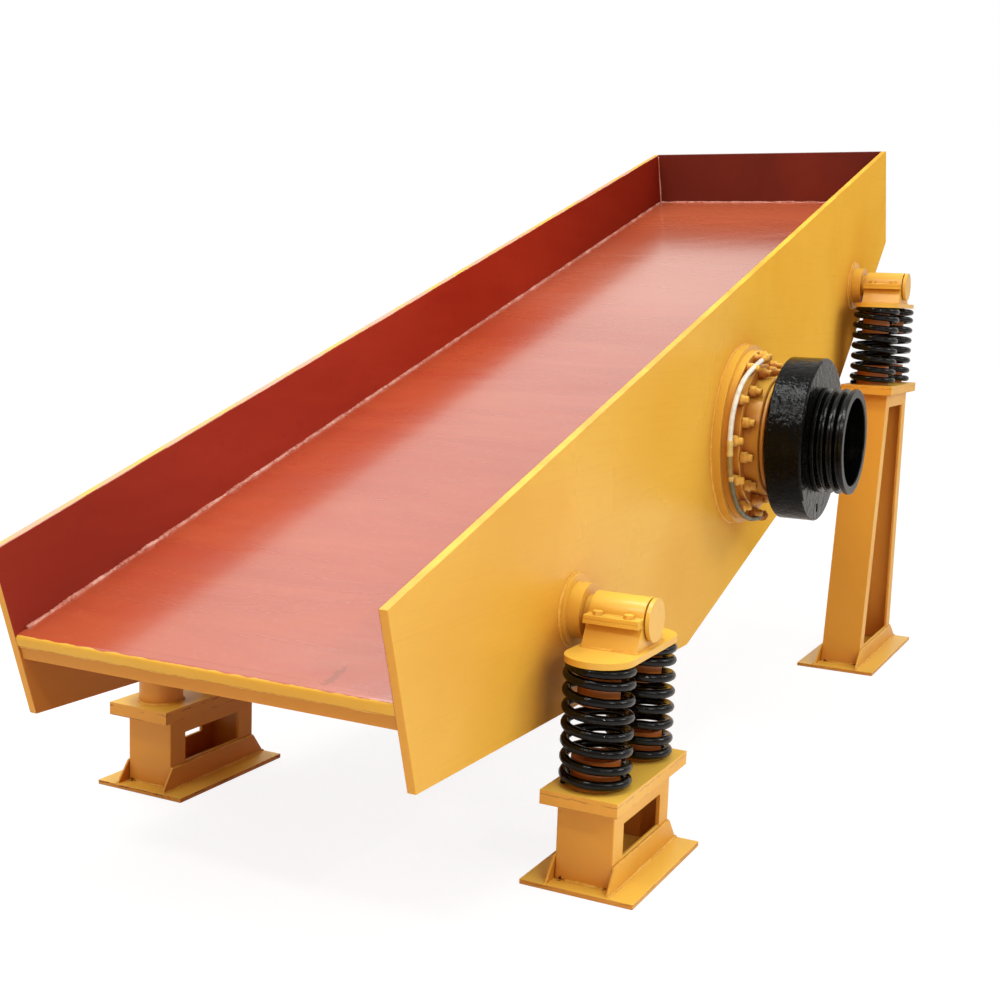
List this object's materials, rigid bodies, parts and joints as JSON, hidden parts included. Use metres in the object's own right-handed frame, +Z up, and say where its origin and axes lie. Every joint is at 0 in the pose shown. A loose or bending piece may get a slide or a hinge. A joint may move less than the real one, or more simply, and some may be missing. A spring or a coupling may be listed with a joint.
{
  "type": "linear vibratory feeder",
  "caption": "Sloped vibratory feeder: an open welded trough on coil springs and box stands, shaken by a cross shaft with eccentric discs and a grooved belt pulley.",
  "frame": {"origin": "on the floor, below the middle of the whole machine", "axes": "+X the way the material runs, towards the discharge lip; +Y to the side with the belt pulley; +Z up"},
  "size_m": [3.9264, 1.6174, 1.9605],
  "materials": {
    "yellow_paint": "gloss",
    "lining_paint": "gloss",
    "black_paint": "high gloss",
    "steel": "machined",
    "grease_line": "satin"
  },
  "bodies": {
    "stands": {"springs_front_drive": "black_paint", "springs_front_free": "black_paint", "springs_rear_drive": "black_paint", "springs_rear_free": "black_paint", "cap_front_drive": "yellow_paint", "cap_front_free": "yellow_paint", "cap_rear_drive": "yellow_paint", "cap_rear_free": "yellow_paint", "column_front_drive": "yellow_paint", "column_front_free": "yellow_paint", "column_rear_drive": "yellow_paint", "column_rear_free": "yellow_paint", "foot_front_drive": "yellow_paint", "foot_front_free": "yellow_paint", "foot_rear_drive": "yellow_paint", "foot_rear_free": "yellow_paint"},
    "trough": {"side_plate_drive": "yellow_paint", "side_plate_free": "yellow_paint", "deck_plate": "lining_paint", "back_plate": "lining_paint", "discharge_lip": "yellow_paint", "deck_crossbeams": "yellow_paint", "exciter_tube": "yellow_paint", "mounting_ring_drive": "yellow_paint", "mounting_ring_free": "yellow_paint", "bearing_housing_drive": "yellow_paint", "bearing_housing_free": "yellow_paint", "bearing_drive": "steel", "bearing_free": "steel", "bearing_cover_drive": "yellow_paint", "bearing_cover_free": "yellow_paint", "housing_bolts_drive": "yellow_paint", "housing_bolts_free": "yellow_paint", "cover_bolts_drive": "yellow_paint", "cover_bolts_free": "yellow_paint", "grease_line": "grease_line", "line_fittings": "yellow_paint", "trunnion_front_drive": "yellow_paint", "trunnion_front_free": "yellow_paint", "trunnion_rear_drive": "yellow_paint", "trunnion_rear_free": "yellow_paint", "saddle_front_drive": "yellow_paint", "saddle_front_free": "yellow_paint", "saddle_rear_drive": "yellow_paint", "saddle_rear_free": "yellow_paint", "clamp_front_drive": "yellow_paint", "clamp_front_free": "yellow_paint", "clamp_rear_drive": "yellow_paint", "clamp_rear_free": "yellow_paint", "clamp_bolts_front_drive": "yellow_paint", "clamp_bolts_front_free": "yellow_paint", "clamp_bolts_rear_drive": "yellow_paint", "clamp_bolts_rear_free": "yellow_paint"},
    "rotor": {"shaft": "steel", "eccentric_drive": "black_paint", "eccentric_free": "black_paint", "pulley": "black_paint"}
  },
  "joints": [
    {"name": "trough_bounce", "type": "slide", "parent": "stands", "child": "trough", "axis": [0, 0, 1], "range_m": [-0.006, 0.006], "stiffness_N_per_m": 742000, "springref_m": 0.03, "deforming": ["springs_front_drive", "springs_front_free", "springs_rear_drive", "springs_rear_free"]},
    {"name": "exciter_spin", "type": "hinge", "parent": "trough", "child": "rotor", "pos_m": [-0.09447, -0.04425, 0.93164], "axis": [0, 1, 0], "continuous": true}
  ]
}
